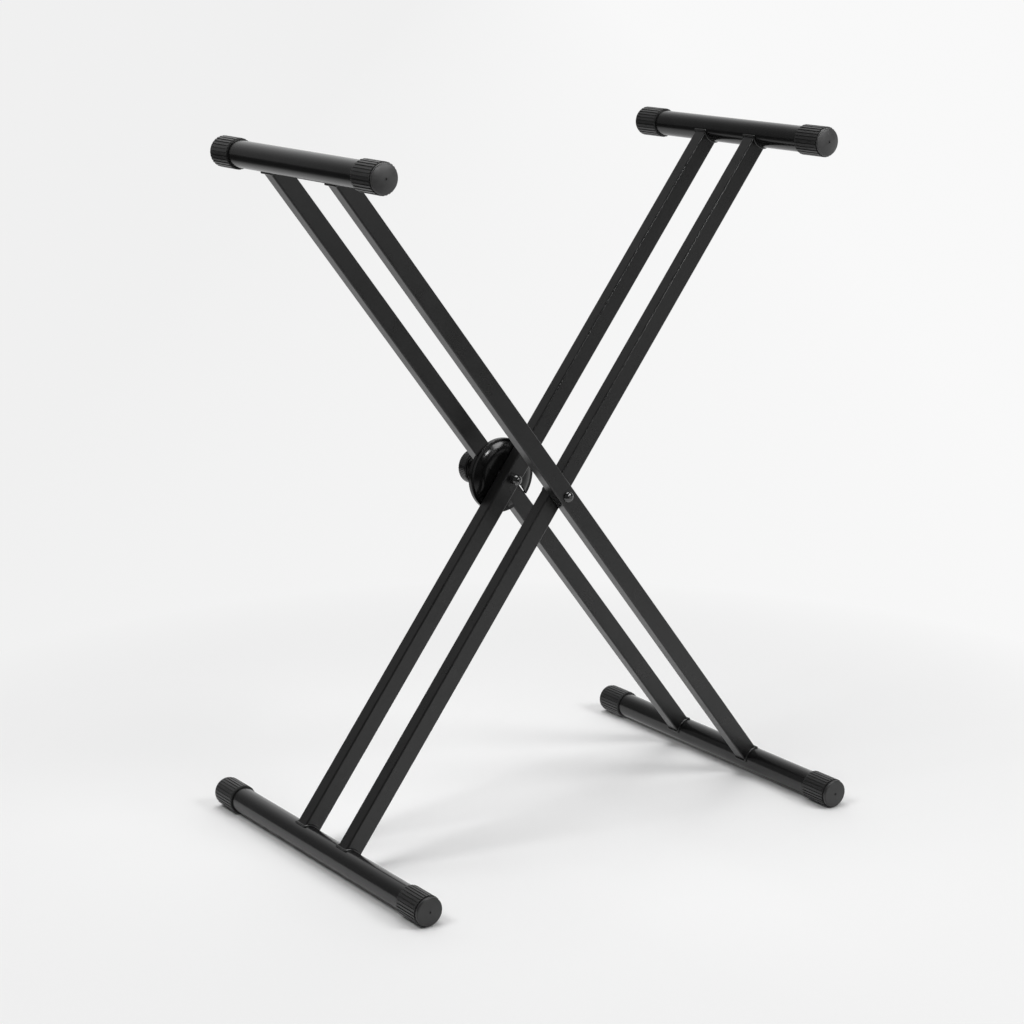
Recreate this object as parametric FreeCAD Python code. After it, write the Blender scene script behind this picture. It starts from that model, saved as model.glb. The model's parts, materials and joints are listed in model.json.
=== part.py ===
import FreeCAD, Part
import math
import os

# Folding keyboard stand with two crossed double frames. Millimetres, +Z up, floor at Z = 0.
# X runs across the stand, Y runs from the player's side (-Y) to the back (+Y).
# The outer frame leans to -X at the top, the inner frame leans to +X.

# --- frames ---------------------------------------------------------------------------
leg_angle = 52.55          # lean of every leg from the floor at rest, degrees
arm_reach = 557.0          # pivot axis to the axis of the top bars
foot_reach = 543.7         # pivot axis to the axis of the floor bars
leg_w = 25.0               # leg tube, across the frame
leg_d = 20.0               # leg tube, along Y
leg_wall = 1.2
leg_edge_r = 2.0           # outer corner radius of the leg tube
leg_span = 169.0           # outer legs, front face to rear face
leg_side_gap = 1.0         # outer front leg to inner front leg
bar_r = 17.0               # round bars, outside radius
bar_wall = 1.6
arm_len = 380.0            # top bars over their caps
foot_len = 500.6           # floor bars over their caps
weld_gap = 0.15            # coped leg end to round bar
bead_r = 1.7               # weld bead radius
bead_out = 0.5             # bead centre outside the corner it fills

# --- end caps -------------------------------------------------------------------------
cap_len = 46.0
cap_end_t = 6.0            # closed end
cap_crest_h = 2.65         # bar surface to rib crest
cap_rib_h = 1.1            # rib height above the groove
cap_ribs = 28              # multiple of 4, so a crest faces straight down and straight up
cap_crest_w = 2.5
cap_root_w = 1.2           # flat width at the bottom of a groove
cap_fit = 0.05             # radial play of a cap on its bar
cap_nose = 4.3             # smooth end beyond the ribs
cap_groove = 1.2           # width of the groove behind the nose
cap_groove_h = 0.9         # depth of that groove below the rib roots
cap_nose_r = 1.8           # rounding of the nose edge
cap_mouth_c = 0.8          # bevel at the open end
arm_cap_rise = 2.3         # crown of an arm cap's end
foot_cap_rise = 0.25       # crown of a foot cap's end
dimple_r = 1.7
dimple_h = 1.1

# --- front pivot ----------------------------------------------------------------------
bolt_r = 4.0
bolt_head_r = 7.4
bolt_head_rim = 1.2
bolt_head_rise = 4.0
bore_play = 0.1            # holes that a fixed shaft only passes through
run_play = 0.05            # radial play of a turning shaft
rub_gap = 0.1              # flat faces that turn against each other
bush_wall = 2.0
sleeve_wall = 1.8
front_washer_r = 9.5
nut_washer_t = 1.5
nut_af = 13.0              # across flats
nut_t = 6.5
bolt_tail = 1.8            # thread standing out of the nut

# --- rear pivot and clamp -------------------------------------------------------------
stud_r = 5.0
dome_nut_r = 7.2
dome_nut_skirt = 6.6       # straight part under the dome
dome_nut_cover = 2.2       # metal beyond the blind hole, measured from the dome's centre
plate_r = 12.4             # clutch plate on the inner rear leg
plate_t = 1.5
ring_r = 12.0              # friction ring
ring_in_r = 8.5
ring_t = 1.5
dish_r = 50.6
dish_web_t = 2.4
dish_boss_h = 2.5          # boss behind the web, down to the outer rear leg
dish_boss_w = 6.5          # boss wall
dish_bore_play = 0.4
dish_clear = 0.7           # inner rear leg to the crown of the dish
dish_well_play = 0.8       # clutch plate to the wall of the well that it sits in
dish_crown_in = 30.5       # radius where the crown starts to fall away
dish_crown_out = 46.5      # radius where the flat flange starts
dish_flange_t = 2.2
dish_edge_r = 1.0
dish_skirt = 4.2           # rim turned back beside the outer rear leg
dish_skirt_t = 2.0
dish_key_gap = 0.15        # rim to leg on each side
notch_reach = 23.0         # pivot axis to the bottom of the notch
pin_r = 1.8                # pins that key the plate and the dish to the legs
plate_pin_off = 9.6       # pivot axis to the clutch plate's pins
dish_pin_off = 18.0
pin_grip = 3.0
seat_r = 12.0              # washer under the spring
seat_t = 1.5
spring_space = 29.4        # spring seat to thrust washer
spring_wire_r = 0.9
spring_mean_r = 9.4
spring_turns = 7.0
spring_steps = 4           # stations of the centre line in one turn, two arcs between each pair
spring_checks = 9          # points per station at which the gap between turns is measured
distance_wall = 1.9
thrust_r = 13.0
thrust_t = 1.5
knob_r = 23.8
knob_t = 15.5
knob_flutes = 60
knob_flute_h = 1.0
knob_crest_w = 1.4
knob_root_w = 0.6
knob_edge_c = 1.0
knob_face_in = 12.0        # radius of the flat around the bore
knob_face_out = 20.0
knob_face_h = 1.6          # depth of the recess in the front face
insert_r = 8.0
insert_t = 9.0
insert_set = 0.5           # insert below the knob's front face
thread_pitch = 1.5         # travel of the knob in one turn
clip_r = 8.0
clip_t = 1.0
stud_tail = 0.6            # stud beyond its clip
knob_well_r = 10.5
disc_r = 13.0              # cover disc in the back of the knob
disc_t = 1.6
disc_gap = 1.0             # stud end to cover disc

# --- derived positions ----------------------------------------------------------------
cap_crest_r = bar_r + cap_crest_h
lean = 90.0 - leg_angle
rad = math.radians(leg_angle)
pivot_z = cap_crest_r + foot_reach * math.sin(rad)

lock_gap = plate_t + rub_gap + ring_t + dish_web_t + dish_boss_h
y_of = -leg_span / 2.0                     # outer front leg, front face
y_if = y_of + leg_d + leg_side_gap         # inner front leg, front face
y_or = leg_span / 2.0 - leg_d              # outer rear leg, front face
y_ir = y_or - lock_gap - leg_d             # inner rear leg, front face
y_plate = y_ir + leg_d
y_ring = y_plate + plate_t + rub_gap
y_dish = y_ring + ring_t
y_crown = y_plate + dish_clear
y_seat = y_or + leg_d
y_spring = y_seat + seat_t + rub_gap
y_thrust = y_spring + spring_space
y_knob = y_thrust + thrust_t + rub_gap
y_insert = y_knob + insert_set
y_clip = y_insert + insert_t + thread_pitch + rub_gap
y_stud_end = y_clip + clip_t + stud_tail
y_knob_end = y_knob + knob_t
y_nut_washer = y_if + leg_d + rub_gap
y_nut = y_nut_washer + nut_washer_t

Y_AXIS = FreeCAD.Vector(0, 1, 0)
ORIGIN = FreeCAD.Vector(0, 0, 0)


# --- shape helpers --------------------------------------------------------------------
def rod(radius, y0, y1, x=0.0, z=0.0):
    """Solid round bar along Y from y0 to y1."""
    return Part.makeCylinder(radius, y1 - y0, FreeCAD.Vector(x, y0, z), Y_AXIS)


def pipe(radius, hole, y0, y1, x=0.0, z=0.0):
    """Round tube along Y."""
    return rod(radius, y0, y1, x, z).cut(rod(hole, y0 - 1.0, y1 + 1.0, x, z))


def block(x0, x1, y0, y1, z0, z1):
    return Part.makeBox(x1 - x0, y1 - y0, z1 - z0, FreeCAD.Vector(x0, y0, z0))


def prism(corners, y0, y1):
    """Straight prism along Y over a closed run of (x, z) corners."""
    run = [FreeCAD.Vector(x, y0, z) for x, z in corners]
    face = Part.Face(Part.makePolygon(run + run[:1]))
    return face.extrude(FreeCAD.Vector(0, y1 - y0, 0))


def spun(edges):
    """Body of revolution about the Y axis over closed (r, y) edges."""
    return Part.Face(Part.Wire(edges)).revolve(ORIGIN, Y_AXIS, 360.0)


def at(r, y):
    return FreeCAD.Vector(r, y, 0)


def path(points):
    """Closed straight-edged (r, y) outline; a 'bow' point between two corners bends that edge."""
    edges = []
    spots = points + points[:1]
    i = 0
    while i < len(spots) - 1:
        if len(spots[i + 1]) == 3:
            edges.append(Part.Arc(at(*spots[i][:2]), at(*spots[i + 1][:2]),
                                  at(*spots[i + 2][:2])).toShape())
            i += 2
        else:
            edges.append(Part.makeLine(at(*spots[i]), at(*spots[i + 1])))
            i += 1
    return edges


def gear_outline(count, crest_r, root_r, crest_w, root_w):
    """Corners of a ribbed round, flat crests at crest_r, one crest facing straight down."""
    corners = []
    step = 2.0 * math.pi / count
    for k in range(count):
        mid = -math.pi / 2.0 + k * step
        for half, dist, turn in ((-crest_w / 2.0, crest_r, 0.0), (crest_w / 2.0, crest_r, 0.0),
                                 (-root_w / 2.0, root_r, step / 2.0),
                                 (root_w / 2.0, root_r, step / 2.0)):
            a = mid + turn
            corners.append((dist * math.cos(a) - half * math.sin(a),
                            dist * math.sin(a) + half * math.cos(a)))
    return corners


def moved(shape, x, z):
    out = shape.copy()
    out.translate(FreeCAD.Vector(x, 0, z))
    return out


def leaned(shape, side):
    """Take a shape drawn on an upright frame with its pivot at the origin to its place.
    side -1 leans the top to -X (outer frame), +1 to +X (inner frame)."""
    out = shape.copy()
    out.rotate(ORIGIN, Y_AXIS, side * lean)
    out.translate(FreeCAD.Vector(0, 0, pivot_z))
    return out


def bar_place(side, reach):
    """World X and Z of a bar axis at a signed distance from the pivot."""
    return side * reach * math.cos(rad), pivot_z + reach * math.sin(rad)


# --- frame pieces ---------------------------------------------------------------------
def leg(y0, side, hole, pins):
    """Rectangular tube, coped to both bars, with its pivot hole and, where a disc is keyed
    to it, the holes of the two key pins."""
    tube = block(-leg_w / 2.0, leg_w / 2.0, y0, y0 + leg_d, -foot_reach, arm_reach)
    long_edges = [e for e in tube.Edges
                  if abs(e.Vertexes[0].Point.z - e.Vertexes[1].Point.z) > arm_reach]
    tube = tube.makeFillet(leg_edge_r, long_edges)
    hollow = block(-leg_w / 2.0 + leg_wall, leg_w / 2.0 - leg_wall,
                   y0 + leg_wall, y0 + leg_d - leg_wall, -foot_reach, arm_reach)
    tube = tube.cut(hollow)
    cutters = [rod(bar_r + weld_gap, y0 - leg_d, y0 + 2.0 * leg_d, 0, arm_reach),
               rod(bar_r + weld_gap, y0 - leg_d, y0 + 2.0 * leg_d, 0, -foot_reach),
               rod(hole, y0 - leg_d, y0 + 2.0 * leg_d)]
    for y, off in pins:
        cutters += [rod(pin_r, y - pin_grip, y + pin_grip, 0, z) for z in (-off, off)]
    for cutter in cutters:
        tube = tube.cut(cutter)
    return leaned(tube, side)


def weld(y0, side, reach):
    """Fillet bead round one coped leg end: two straight runs and two that follow the bar."""
    up = 1.0 if reach < 0 else -1.0        # the leg leaves the bar towards the pivot
    ring_r_mid = bar_r + bead_out
    runs = []
    for x in (-leg_w / 2.0 - bead_out, leg_w / 2.0 + bead_out):
        z = up * math.sqrt(ring_r_mid ** 2 - x ** 2)
        runs.append(rod(bead_r, y0 - bead_out, y0 + leg_d + bead_out, x, z))
        for y in (y0 - bead_out, y0 + leg_d + bead_out):
            runs.append(Part.makeSphere(bead_r, FreeCAD.Vector(x, y, z)))
    half = math.degrees(math.asin((leg_w / 2.0 + bead_out) / ring_r_mid))
    for y in (y0 - bead_out, y0 + leg_d + bead_out):
        ring = Part.makeCircle(bead_r, FreeCAD.Vector(0, y, up * ring_r_mid),
                               FreeCAD.Vector(1, 0, 0))
        ring.rotate(ORIGIN, Y_AXIS, -half)
        runs.append(Part.Face(Part.Wire([ring])).revolve(ORIGIN, Y_AXIS, 2.0 * half))
    bead = runs[0].multiFuse(runs[1:])
    bead = bead.cut(rod(bar_r, y0 - leg_d, y0 + 2.0 * leg_d))
    bead = bead.cut(block(-leg_w / 2.0, leg_w / 2.0, y0, y0 + leg_d, -bar_r * 2.0, bar_r * 2.0))
    return leaned(moved(bead, 0, reach), side)


def bar(length, side, reach):
    half = length / 2.0 - cap_end_t
    x, z = bar_place(side, reach)
    return pipe(bar_r, bar_r - bar_wall, -half, half, x, z)


def cap(length, side, reach, end, rise):
    """Ribbed rubber cap, drawn with its closed end at -Y and turned round for the other end."""
    root_r = cap_crest_r - cap_rib_h
    y0 = -length / 2.0
    ribs = prism(gear_outline(cap_ribs, cap_crest_r, root_r, cap_crest_w, cap_root_w),
                 y0 + cap_nose + cap_groove, y0 + cap_len)
    rim = cap_crest_r + 1.0
    trim = spun(path([(0, y0), (rim, y0), (rim, y0 + cap_len - cap_mouth_c - 1.0),
                      (rim - cap_mouth_c - 1.0, y0 + cap_len), (0, y0 + cap_len)]))
    ribs = ribs.common(trim)
    flat_r = root_r - cap_nose_r
    mid = cap_nose_r * (1.0 - math.sqrt(0.5))
    nose = spun(path([(0, y0), (flat_r / 2.0, y0 + rise / 4.0, "bow"), (flat_r, y0 + rise),
                      (root_r - mid, y0 + rise + mid, "bow"), (root_r, y0 + rise + cap_nose_r),
                      (root_r, y0 + cap_nose), (root_r - cap_groove_h, y0 + cap_nose),
                      (root_r - cap_groove_h, y0 + cap_nose + cap_groove),
                      (0, y0 + cap_nose + cap_groove)]))
    body = ribs.fuse(nose)
    body = body.cut(rod(bar_r + cap_fit, y0 + cap_end_t, y0 + cap_len + 1.0))
    body = body.cut(rod(dimple_r, y0 - 1.0, y0 + dimple_h))
    if end > 0:
        body.rotate(ORIGIN, FreeCAD.Vector(0, 0, 1), 180.0)
    x, z = bar_place(side, reach)
    return moved(body, x, z)


# --- pivot and clamp pieces -----------------------------------------------------------
def hexagon(across, y0, y1):
    corner = across / math.sqrt(3.0)
    return prism([(corner * math.cos(math.radians(60.0 * k)), corner * math.sin(math.radians(60.0 * k)))
                  for k in range(6)], y0, y1)


def front_bolt():
    """Mushroom-headed bolt through both front legs."""
    rim = y_of - bolt_head_rim
    head = spun(path([(0, rim - bolt_head_rise),
                      (bolt_head_r * math.sqrt(0.5), rim - bolt_head_rise * math.sqrt(0.5), "bow"),
                      (bolt_head_r, rim), (bolt_head_r, y_of), (0, y_of)]))
    return head.fuse(rod(bolt_r, y_of - bolt_head_rim, y_nut + nut_t + bolt_tail))


def front_nut():
    nut = hexagon(nut_af, y_nut, y_nut + nut_t)
    corner = nut_af / math.sqrt(3.0)
    bevel = corner - nut_af / 2.0
    cone = spun(path([(0, y_nut), (corner, y_nut), (corner, y_nut + nut_t - bevel),
                      (corner - bevel, y_nut + nut_t), (0, y_nut + nut_t)]))
    return nut.common(cone).cut(rod(bolt_r, y_nut - 1.0, y_nut + nut_t + 1.0))


def dome_nut():
    """Domed nut on the stud, against the front face of the inner rear leg."""
    neck = y_ir - dome_nut_skirt
    bow = dome_nut_r * math.sqrt(0.5)
    body = spun(path([(0, neck - dome_nut_r), (bow, neck - bow, "bow"), (dome_nut_r, neck),
                      (dome_nut_r, y_ir), (0, y_ir)]))
    return body.cut(rod(stud_r, neck - dome_nut_cover, y_ir + 1.0))


def keyed(disc, y, inward, off):
    """Disc with the holes of its two key pins, on the leg's own line."""
    for z in (-off, off):
        disc = disc.cut(rod(pin_r, y - inward, y + inward, 0, z))
    return disc


def lock_dish():
    """Crowned dish on the outer rear leg, notched where that leg runs down from it."""
    flange = y_or - dish_flange_t
    edge = dish_edge_r * (1.0 - math.sqrt(0.5))
    width, fall = dish_crown_out - dish_crown_in, flange - y_crown
    crown = (width ** 2 + fall ** 2) / (2.0 * fall)
    turn = math.asin(width / crown) / 2.0
    well_r = plate_r + dish_well_play
    boss_r = stud_r + dish_bore_play + dish_boss_w
    body = spun(path([
        (stud_r + dish_bore_play, y_dish), (well_r, y_dish), (well_r, y_crown), (dish_crown_in, y_crown),
        (dish_crown_in + crown * math.sin(turn), y_crown + crown * (1.0 - math.cos(turn)), "bow"),
        (dish_crown_out, flange),
        (dish_r - dish_edge_r, flange), (dish_r - edge, flange + edge, "bow"),
        (dish_r, flange + dish_edge_r), (dish_r, y_or + dish_skirt),
        (dish_r - dish_skirt_t, y_or + dish_skirt), (dish_r - dish_skirt_t, y_or),
        (dish_crown_out - dish_web_t / 2.0, y_or), (dish_crown_in - dish_web_t / 2.0, y_dish + dish_web_t),
        (boss_r, y_dish + dish_web_t), (boss_r, y_or), (stud_r + dish_bore_play, y_or)]))
    half = leg_w / 2.0 + dish_key_gap
    body = body.cut(block(-half, half, y_or, y_or + dish_skirt + 1.0, -dish_r - 1.0, dish_r + 1.0))
    round_z = -notch_reach - half
    notch = block(-half, half, y_crown - 1.0, y_or + 1.0, -dish_r - 1.0, round_z)
    body = body.cut(notch.fuse(rod(half, y_crown - 1.0, y_or + 1.0, 0, round_z)))
    return body


def coil_point(turn, rise):
    """Point and unit direction on the spring's centre line after so many turns."""
    a = 2.0 * math.pi * turn
    slope = rise / (2.0 * math.pi * spring_turns * spring_mean_r)
    place = FreeCAD.Vector(spring_mean_r * math.cos(a), rise * turn / spring_turns,
                           spring_mean_r * math.sin(a))
    along = FreeCAD.Vector(-math.sin(a), slope, math.cos(a))
    return place, along.normalize()


def biarc(start, end):
    """Two arcs that leave and arrive along the given directions and meet smoothly."""
    (p0, t0), (p1, t1) = start, end
    chord = p1 - p0
    a = 2.0 * (1.0 - t0.dot(t1))
    b = 2.0 * chord.dot(t0 + t1)
    reach = (-b + math.sqrt(b * b + 4.0 * a * chord.dot(chord))) / (2.0 * a)
    q0, q1 = p0 + t0 * reach, p1 - t1 * reach
    join = (q0 + q1) * 0.5
    arcs = []
    for a0, along, corner, a1 in ((p0, t0, q0, join), (join, (q1 - q0).normalize(), q1, p1)):
        chord = a1 - a0
        middle = (a0 + a1) * 0.5
        half = math.acos(min(1.0, along.dot(chord) / chord.Length))
        bulge = chord.Length / 2.0 * math.tan(half / 2.0)
        arcs.append(Part.Arc(a0, middle + (corner - middle).normalize() * bulge, a1).toShape())
    return arcs


def spring():
    """Round-wire compression spring around the distance sleeve, one unbroken tube."""
    rise = spring_space - 2.0 * spring_wire_r - rub_gap
    steps = round(spring_turns * spring_steps)
    stations = [coil_point(spring_turns * k / steps, rise) for k in range(steps + 1)]
    line = Part.Wire([arc for pair in zip(stations, stations[1:]) for arc in biarc(*pair)])
    ring = Part.Wire(Part.makeCircle(spring_wire_r, *stations[0]))
    body = line.makePipeShell([ring], True, False)
    per_turn = spring_steps * spring_checks
    points = line.discretize(Number=round(spring_turns * per_turn))
    apart = min((a - b).Length for i, a in enumerate(points) for b in points[i + per_turn // 2:])
    print("spring, least gap to itself: %.2f mm" % (apart - 2.0 * spring_wire_r))
    body.translate(FreeCAD.Vector(0, y_spring + spring_wire_r + rub_gap, 0))
    return body


def knob():
    """Fluted hand knob with a recessed front, a bore for its insert and a well behind it."""
    y1 = y_knob_end
    body = prism(gear_outline(knob_flutes, knob_r, knob_r - knob_flute_h, knob_crest_w, knob_root_w),
                 y_knob, y1)
    rim = knob_r + 1.0
    side_c = knob_edge_c + 1.0
    body = body.common(spun(path([(0, y_knob), (rim - side_c, y_knob), (rim, y_knob + side_c),
                                  (rim, y1 - side_c), (rim - side_c, y1), (0, y1)])))
    slope = knob_face_h
    face = spun(path([(knob_face_in, y_knob - 1.0), (knob_face_out + 1.0, y_knob - 1.0),
                      (knob_face_out + 1.0, y_knob), (knob_face_out - slope, y_knob + knob_face_h),
                      (knob_face_in, y_knob + knob_face_h)]))
    for cutter in (face, rod(insert_r, y_knob - 1.0, y_insert + insert_t),
                   rod(knob_well_r, y_insert + insert_t, y1 + 1.0),
                   rod(disc_r, y1 - disc_t, y1 + 1.0)):
        body = body.cut(cutter)
    return body


# --- all pieces -----------------------------------------------------------------------
nodes = {}
for frame, side, legs in (
        ("outer", -1, (("front", y_of, bolt_r + bore_play, ()),
                       ("rear", y_or, stud_r + run_play + bush_wall, ((y_or, dish_pin_off),)))),
        ("inner", 1, (("front", y_if, bolt_r + run_play + bush_wall, ()),
                      ("rear", y_ir, stud_r + bore_play, ((y_plate, plate_pin_off),))))):
    for name, y0, hole, pins in legs:
        nodes[frame + "_leg_" + name] = leg(y0, side, hole, pins)
        nodes[frame + "_weld_arm_" + name] = weld(y0, side, arm_reach)
        nodes[frame + "_weld_foot_" + name] = weld(y0, side, -foot_reach)
    for name, length, reach, rise in (("arm", arm_len, arm_reach, arm_cap_rise),
                                      ("foot", foot_len, -foot_reach, foot_cap_rise)):
        nodes[frame + "_" + name + "_bar"] = bar(length, side, reach)
        nodes[frame + "_" + name + "_cap_front"] = cap(length, side, reach, -1, rise)
        nodes[frame + "_" + name + "_cap_rear"] = cap(length, side, reach, 1, rise)

# Shapes on the pivot axis: name, upright shape, side of the frame that it belongs to.
pivot_parts = [
    ("front_bolt", front_bolt(), -1),
    ("front_sleeve", pipe(bolt_r + bore_play + sleeve_wall, bolt_r + bore_play,
                          y_of + leg_wall, y_of + leg_d - leg_wall), -1),
    ("front_thrust_washer", pipe(front_washer_r, bolt_r + bore_play,
                                 y_of + leg_d, y_if - rub_gap), -1),
    ("front_bush", pipe(bolt_r + run_play + bush_wall, bolt_r + run_play, y_if, y_if + leg_d), 1),
    ("front_nut_washer", pipe(front_washer_r, bolt_r + bore_play, y_nut_washer, y_nut), -1),
    ("front_lock_nut", front_nut(), -1),
    ("rear_stud", rod(stud_r, y_ir - dome_nut_skirt, y_stud_end), 1),
    ("rear_dome_nut", dome_nut(), 1),
    ("rear_sleeve", pipe(stud_r + bore_play + sleeve_wall, stud_r + bore_play,
                         y_ir + leg_wall, y_ir + leg_d - leg_wall), 1),
    ("clutch_plate", keyed(pipe(plate_r, stud_r + bore_play, y_plate, y_plate + plate_t),
                           y_plate, plate_t + 1.0, plate_pin_off), 1),
    ("friction_ring", pipe(ring_r, ring_in_r, y_ring, y_dish), -1),
    ("lock_dish", keyed(lock_dish(), y_or, y_or - y_dish, dish_pin_off), -1),
    ("rear_bush", pipe(stud_r + run_play + bush_wall, stud_r + run_play, y_or, y_or + leg_d), -1),
    ("spring_seat", pipe(seat_r, stud_r + dish_bore_play, y_seat, y_seat + seat_t), -1),
    ("distance_sleeve", pipe(stud_r + bore_play + distance_wall, stud_r + bore_play,
                             y_spring, y_thrust), 1),
    ("release_spring", spring(), 1),
    ("thrust_washer", pipe(thrust_r, stud_r + bore_play, y_thrust, y_thrust + thrust_t), 1),
    ("knob", knob(), 1),
    ("knob_insert", pipe(insert_r, stud_r + run_play, y_insert, y_insert + insert_t), 1),
    ("knob_disc", rod(disc_r, y_knob_end - disc_t, y_knob_end), 1),
    ("stud_clip", pipe(clip_r, stud_r, y_clip, y_clip + clip_t), 1)]
for tag, end in (("lower", -1), ("upper", 1)):
    pivot_parts.append(("plate_pin_" + tag, rod(pin_r, y_plate - pin_grip, y_plate + plate_t,
                                                0, end * plate_pin_off), 1))
    pivot_parts.append(("dish_pin_" + tag, rod(pin_r, y_dish, y_or + pin_grip,
                                               0, end * dish_pin_off), -1))
for name, shape, side in pivot_parts:
    nodes[name] = leaned(shape, side)

os.makedirs("parts", exist_ok=True)
for name, shape in nodes.items():
    solid = shape.Solids[0] if len(shape.Solids) == 1 else shape
    solid.exportStep("parts/" + name + ".step")
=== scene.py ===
import json
import math

import bpy
from mathutils import Matrix, Vector

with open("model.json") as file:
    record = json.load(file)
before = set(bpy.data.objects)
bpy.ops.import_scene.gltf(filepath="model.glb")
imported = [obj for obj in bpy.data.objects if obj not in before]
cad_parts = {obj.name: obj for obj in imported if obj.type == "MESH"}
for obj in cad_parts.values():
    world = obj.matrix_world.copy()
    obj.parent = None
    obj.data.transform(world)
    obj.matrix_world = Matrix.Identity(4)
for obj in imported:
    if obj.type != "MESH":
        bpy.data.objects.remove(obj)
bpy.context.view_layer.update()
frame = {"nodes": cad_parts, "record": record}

nodes = frame["nodes"]
scene = bpy.context.scene

# --- camera: solved from the tubes, bars and caps in the photograph ---------------------
CAM_POS = (-1.797, -2.470, 1.209)
CAM_YAW, CAM_PITCH, CAM_ROLL = -35.595, -14.594, -0.136     # degrees
CAM_FOCAL_PX, FRAME_PX, SENSOR_MM = 2389.7, 1024.0, 36.0

yaw, pitch, roll = (math.radians(a) for a in (CAM_YAW, CAM_PITCH, CAM_ROLL))
forward = Vector((-math.sin(yaw) * math.cos(pitch), math.cos(yaw) * math.cos(pitch), math.sin(pitch)))
level = Vector((math.cos(yaw), math.sin(yaw), 0.0))
above = level.cross(forward)
right = level * math.cos(roll) + above * math.sin(roll)
up = above * math.cos(roll) - level * math.sin(roll)
cam_data = bpy.data.cameras.new("camera")
cam_data.sensor_width = SENSOR_MM
cam_data.lens = CAM_FOCAL_PX * SENSOR_MM / FRAME_PX
cam = bpy.data.objects.new("camera", cam_data)
scene.collection.objects.link(cam)
cam.matrix_world = Matrix.Translation(CAM_POS) @ Matrix((right, up, -forward)).transposed().to_4x4()
scene.camera = cam


# --- node helpers -----------------------------------------------------------------------
class Nodes:
    """A node tree over one kind of coordinates, with short calls for procedural nodes."""

    def __init__(self, tree, coordinates):
        self.tree = tree
        self.place = tree.nodes.new("ShaderNodeTexCoord").outputs[coordinates]

    def node(self, kind, **values):
        """Each value is a setting of the new node, or else one of its inputs."""
        made = self.tree.nodes.new(kind)
        for key, value in values.items():
            if hasattr(made, key):
                setattr(made, key, value)
            else:
                made.inputs[key.replace("_", " ")].default_value = value
        return made

    def feed(self, value, socket):
        """Links an output to a socket, or sets the socket to a number or a colour."""
        if isinstance(value, tuple):
            socket.default_value = (*value, 1.0)
        elif isinstance(value, float):
            socket.default_value = value
        else:
            self.tree.links.new(value, socket)

    def noise(self, scale, detail, rough=0.55, stretch=(1, 1, 1)):
        mapping = self.node("ShaderNodeMapping", Scale=stretch)
        self.feed(self.place, mapping.inputs["Vector"])
        tex = self.node("ShaderNodeTexNoise", Scale=scale, Detail=detail, Roughness=rough)
        self.feed(mapping.outputs["Vector"], tex.inputs["Vector"])
        return tex.outputs["Fac"]

    def ramp(self, fac, *stops):
        """stops of (position, colour), from low to high."""
        made = self.node("ShaderNodeValToRGB")
        while len(made.color_ramp.elements) < len(stops):
            made.color_ramp.elements.new(0.5)
        for element, (at, colour) in zip(made.color_ramp.elements, stops):
            element.position, element.color = at, (*colour, 1.0)
        self.feed(fac, made.inputs["Fac"])
        return made.outputs["Color"]

    def remap(self, fac, low, high, from_low=0.3, from_high=0.7):
        made = self.node("ShaderNodeMapRange", From_Min=from_low, From_Max=from_high,
                         To_Min=low, To_Max=high)
        self.feed(fac, made.inputs["Value"])
        return made.outputs["Result"]

    def math(self, operation, *values):
        made = self.node("ShaderNodeMath", operation=operation)
        for value, socket in zip(values, made.inputs):
            self.feed(value, socket)
        return made.outputs["Value"]

    def along(self, direction):
        """How far a place lies along a direction."""
        made = self.node("ShaderNodeVectorMath", operation="DOT_PRODUCT")
        made.inputs[1].default_value = direction
        self.feed(self.place, made.inputs[0])
        return made.outputs["Value"]

    def split(self):
        made = self.node("ShaderNodeSeparateXYZ")
        self.feed(self.place, made.inputs["Vector"])
        return made.outputs

    def mix(self, fac, a, b, blend="MIX"):
        made = self.node("ShaderNodeMix", data_type="RGBA", blend_type=blend)
        for value, socket in ((fac, made.inputs["Factor"]), (a, made.inputs[6]), (b, made.inputs[7])):
            self.feed(value, socket)
        return made.outputs[2]


class Shader(Nodes):
    """A new material with its Principled shader."""

    def __init__(self, name, **sockets):
        self.material = bpy.data.materials.new(name)
        self.material.use_nodes = True
        super().__init__(self.material.node_tree, "Object")
        self.main = self.tree.nodes["Principled BSDF"]
        for key, value in sockets.items():
            self.main.inputs[key.replace("_", " ")].default_value = value

    def surface(self, colour, rough, *bumps):
        """bumps of (height, strength, distance in metres), each resting on the one before."""
        self.feed(colour, self.main.inputs["Base Color"])
        self.feed(rough, self.main.inputs["Roughness"])
        normal = None
        for height, strength, distance in bumps:
            made = self.node("ShaderNodeBump", Strength=strength, Distance=distance)
            self.feed(height, made.inputs["Height"])
            if normal is not None:
                self.feed(normal, made.inputs["Normal"])
            normal = made.outputs["Normal"]
        self.feed(normal, self.main.inputs["Normal"])


def grey(v):
    return (v, v, v)


# --- looks: tones and roughness run from the first to the second of their two values ------
PLASTIC_IOR = 1.5
END_LIT_FROM, END_LIT_TO = 0.1835, 0.1855   # metres from the middle of a bar, outwards, over which the painted light on the upper cap ends fades in
UPPER_FROM, UPPER_TO = 0.4, 0.5             # height in metres that parts the upper caps from the lower


def powder_coat(name, tones, rough):
    """Black powder coat: slight mottling under a fine orange peel."""
    s = Shader(name, IOR=PLASTIC_IOR)
    s.surface(s.ramp(s.noise(scale=9.0, detail=5.0), (0.3, tones[0]), (0.72, tones[1])),
              s.remap(s.noise(scale=38.0, detail=3.0), *rough),
              (s.noise(scale=900.0, detail=2.0), 0.06, 0.0004),
              (s.noise(scale=2600.0, detail=2.0), 0.03, 0.0002))
    return s


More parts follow.
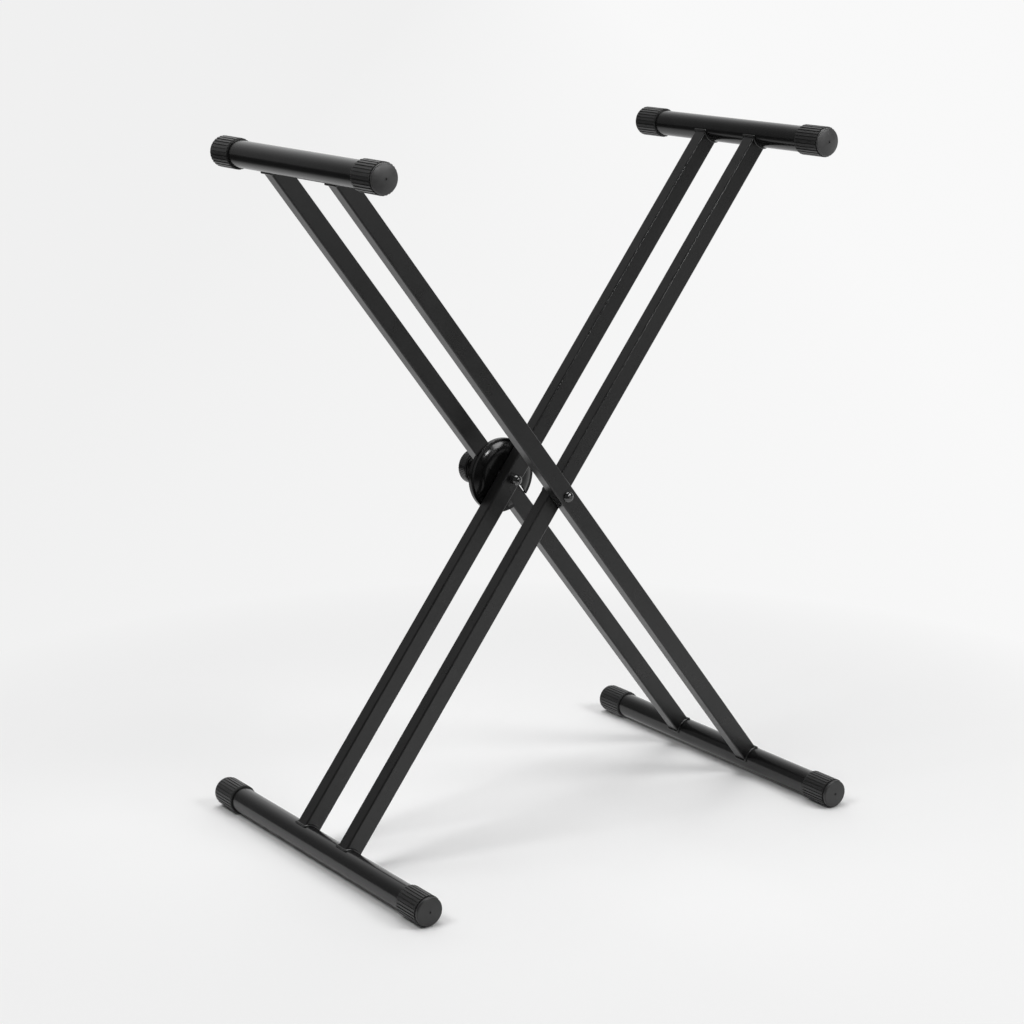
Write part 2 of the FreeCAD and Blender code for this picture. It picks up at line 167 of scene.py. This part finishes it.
def rubber(name, tones, rough, shine=0.35):
    """Rubber or matt plastic with a trace of dust; shine is the level of its reflections."""
    s = Shader(name, IOR=PLASTIC_IOR, Specular_IOR_Level=shine)
    s.surface(s.ramp(s.noise(scale=60.0, detail=6.0, rough=0.65), (0.35, tones[0]), (0.75, tones[1])),
              s.remap(s.noise(scale=120.0, detail=4.0), *rough),
              (s.noise(scale=1800.0, detail=3.0), 0.12, 0.0003))
    return s


def paint_light_on_cap_ends(s, tone):
    """Lightens the closed ends of the upper caps: painted light, standing for the lamps they catch."""
    across = s.split()
    end = s.remap(s.math("ABSOLUTE", across["Y"]), 0.0, 1.0, END_LIT_FROM, END_LIT_TO)
    upper = s.remap(across["Z"], 0.0, 1.0, UPPER_FROM, UPPER_TO)
    base = s.main.inputs["Base Color"]
    s.feed(s.mix(s.math("MULTIPLY", end, upper), base.links[0].from_socket, tone), base)
    return s


def gloss(name, tones, rough, ior):
    """Black gloss finish with faint waves."""
    s = Shader(name, IOR=ior)
    s.surface(s.ramp(s.noise(scale=30.0, detail=4.0), (0.3, tones[0]), (0.7, tones[1])),
              s.remap(s.noise(scale=70.0, detail=5.0), *rough),
              (s.noise(scale=320.0, detail=2.0), 0.05, 0.0003))
    return s


def metal(name, tones, rough):
    """Bare metal, drawn out along its Y axis."""
    s = Shader(name, Metallic=1.0)
    s.surface(s.ramp(s.noise(scale=90.0, detail=5.0), (0.3, tones[0]), (0.7, tones[1])),
              s.remap(s.noise(scale=240.0, detail=4.0, stretch=(1, 6, 1)), *rough),
              (s.noise(scale=700.0, detail=3.0, stretch=(1, 8, 1)), 0.08, 0.0002))
    return s


LOOKS = {
    "leg_coat": powder_coat("leg_coat", (grey(0.0055), grey(0.0085)), rough=(0.26, 0.34)),
    "bar_coat": powder_coat("bar_coat", (grey(0.005), grey(0.008)), rough=(0.17, 0.22)),
    "weld_bead": powder_coat("weld_bead", (grey(0.008), grey(0.014)), rough=(0.12, 0.18)),
    # The upper caps' closed ends are painted lighter: a painted highlight standing in for the light
    # they catch.
    "cap_rubber": paint_light_on_cap_ends(rubber("cap_rubber", (grey(0.018), grey(0.027)), rough=(0.32, 0.42),
                                   shine=0.5), tone=grey(0.06)),
    "bolt_black": gloss("bolt_black", (grey(0.008), grey(0.014)), rough=(0.12, 0.18), ior=1.9),
    "dish_gloss": gloss("dish_gloss", (grey(0.003), grey(0.005)), rough=(0.15, 0.19), ior=1.4),
    "knob_plastic": rubber("knob_plastic", (grey(0.004), grey(0.006)), rough=(0.2, 0.26), shine=0.8),
    "zinc_steel": metal("zinc_steel", (grey(0.36), grey(0.46)), rough=(0.25, 0.4)),
    "brass": metal("brass", ((0.6, 0.42, 0.16), (0.75, 0.55, 0.24)), rough=(0.25, 0.4)),
    "nylon": rubber("nylon", ((0.62, 0.6, 0.55), (0.7, 0.68, 0.63)), rough=(0.4, 0.5)),
    "friction_lining": rubber("friction_lining", ((0.05, 0.042, 0.036), (0.08, 0.07, 0.06)),
                              rough=(0.6, 0.75)),
}
for part in frame["record"]["subparts"]:
    node = nodes[part["node"]]
    node.data.materials.clear()
    node.data.materials.append(LOOKS[part["material_slot"]].material)


# --- floor and backdrop: a pale sheet under and behind the stand, in a dark room ----------
FLOOR_HALF = 45.0                           # metres
FLOOR_CORNERS = ((-1, -1), (1, -1), (1, 1), (-1, 1))
FLOOR_TONES = (grey(0.855), grey(0.87))
DARK_ROOM = 0.15                            # grey of the room around the sheet
PALE_LEFT, PALE_RIGHT = 0.872, 0.945        # the glowing background from its left to its right side; darker on the left as painted shade
PALE_HALF = 1.1                             # metres from its middle to either side
PALE_NEAR, PALE_FAR = 0.45, 1.1             # metres from the stand: lit floor, then backdrop
GLOSS_NEAR, GLOSS_FAR = 2.0, 3.6            # the same for what glossy surfaces see
BACK_NEAR, BACK_FAR = 0.05, 0.6             # and for what they see behind the stand
SHEET_NEAR, SHEET_FAR = 0.85, 1.6           # the sheet ends this far in front of the stand
SHEET_LEFT, SHEET_LEFT_END = -1.0, -2.2     # and this far to the left of it
room_side = Vector((forward.x, forward.y, 0.0)).normalized() * -1.0


def floor_material():
    """Lit floor that keeps the shadows near the stand, and a glowing pale backdrop beyond it, darkened
    towards the left by painted shade.
    """
    s = Shader("studio_floor", Roughness=0.9, Specular_IOR_Level=0.1)
    length = s.node("ShaderNodeVectorMath", operation="LENGTH")
    s.feed(s.place, length.inputs[0])
    distance, ahead, across = length.outputs["Value"], s.along(room_side), s.along(level)
    room = s.math("MAXIMUM", s.remap(ahead, 0.0, 1.0, SHEET_NEAR, SHEET_FAR),
                  s.remap(across, 1.0, 0.0, SHEET_LEFT_END, SHEET_LEFT))
    sheet = s.ramp(s.noise(scale=1.3, detail=2.0), (0.3, FLOOR_TONES[0]), (0.7, FLOOR_TONES[1]))
    s.feed(s.mix(room, sheet, grey(DARK_ROOM)), s.main.inputs["Base Color"])
    glow = s.node("ShaderNodeEmission", Strength=1.0)
    # Painted shade: the backdrop's glow runs darker towards its left side.
    s.feed(s.ramp(s.remap(across, 0.0, 1.0, -PALE_HALF, PALE_HALF),
                  (0.0, grey(PALE_LEFT)), (1.0, grey(PALE_RIGHT))), glow.inputs["Color"])

    rays = s.node("ShaderNodeLightPath").outputs
    total = s.math("MULTIPLY", rays["Is Camera Ray"], s.remap(distance, 0.0, 1.0, PALE_NEAR, PALE_FAR))
    far_off = s.math("MAXIMUM", s.remap(distance, 0.0, 1.0, GLOSS_NEAR, GLOSS_FAR),
                     s.remap(ahead, 1.0, 0.0, -BACK_FAR, -BACK_NEAR))
    on_sheet = s.math("MULTIPLY", far_off, s.math("SUBTRACT", 1.0, room))
    for ray in ("Is Glossy Ray", "Is Transmission Ray"):
        total = s.math("MAXIMUM", total, s.math("MULTIPLY", rays[ray], on_sheet))
    blend = s.node("ShaderNodeMixShader")
    s.feed(total, blend.inputs["Fac"])
    s.feed(s.main.outputs["BSDF"], blend.inputs[1])
    s.feed(glow.outputs["Emission"], blend.inputs[2])
    s.feed(blend.outputs["Shader"], s.tree.nodes["Material Output"].inputs["Surface"])
    return s.material


floor_mesh = bpy.data.meshes.new("studio_floor")
floor_mesh.from_pydata([(x * FLOOR_HALF, y * FLOOR_HALF, 0.0) for x, y in FLOOR_CORNERS],
                       [], [(0, 1, 2, 3)])
studio_floor = bpy.data.objects.new("studio_floor", floor_mesh)
scene.collection.objects.link(studio_floor)
studio_floor.data.materials.append(floor_material())

# The room as reflections and shadows see it: position 0 is the camera's side, 1 is straight
# behind the stand, where the white sheet hangs. The camera itself sees the pale backdrop.
ROOM_STOPS = ((0.35, 0.12), (0.6, 0.15), (0.725, 0.25), (0.84, 0.66), (0.925, 1.0))
CEILING_STOPS = ((0.6, 1.0), (0.85, 0.6))
world = bpy.data.worlds.new("studio_world")
scene.world = world
world.use_nodes = True
w = Nodes(world.node_tree, "Generated")
walls = w.ramp(w.remap(w.along(-room_side), 0.0, 1.0, -1.0, 1.0),
               *((at, grey(v)) for at, v in ROOM_STOPS))
ceiling = w.ramp(w.split()["Z"], *((at, grey(v)) for at, v in CEILING_STOPS))
lit_room = w.mix(1.0, walls, ceiling, blend="MULTIPLY")
camera_ray = w.node("ShaderNodeLightPath").outputs["Is Camera Ray"]
sky = w.tree.nodes["Background"]
w.feed(w.mix(camera_ray, lit_room, grey(PALE_RIGHT)), sky.inputs["Color"])
sky.inputs["Strength"].default_value = 1.0


# --- lamps ------------------------------------------------------------------------------
def lamp(name, place, aim, size, power, spread=180.0, **rays):
    """Area lamp: metres, watts and degrees, and whether some kinds of rays see it."""
    data = bpy.data.lights.new(name, "AREA")
    data.shape = "RECTANGLE"
    data.size, data.size_y = size
    data.energy = power
    data.spread = math.radians(spread)
    made = bpy.data.objects.new(name, data)
    scene.collection.objects.link(made)
    made.location = place
    made.rotation_euler = (Vector(aim) - Vector(place)).to_track_quat("-Z", "Y").to_euler()
    for ray, seen in rays.items():
        setattr(made, ray, seen)


lamp("top_light", (0.05, 0.45, 3.2), (0.05, 0.25, 0.3), size=(1.9, 1.9), power=19.0, spread=110.0)
lamp("left_light", (-1.75, 0.05, 2.5), (0.0, 0.0, 0.2), size=(1.1, 1.1), power=8.5, spread=100.0,
     visible_glossy=False)
lamp("front_light", (1.2, -1.9, 2.1), (0.0, 0.0, 0.2), size=(1.1, 1.1), power=10.0, spread=100.0)
# Two soft boxes that only show as reflections: a broad dim one and a small bright one.
lamp("panel", (1.1, -2.5, 1.15), (0.0, 0.0, 0.7), size=(0.9, 1.6), power=4.5, visible_diffuse=False)
lamp("front_spot", (0.1, -2.35, 1.75), (0.0, 0.0, 0.45), size=(0.35, 0.35), power=3.4, spread=100.0,
     visible_diffuse=False)

scene.view_settings.view_transform = "Standard"
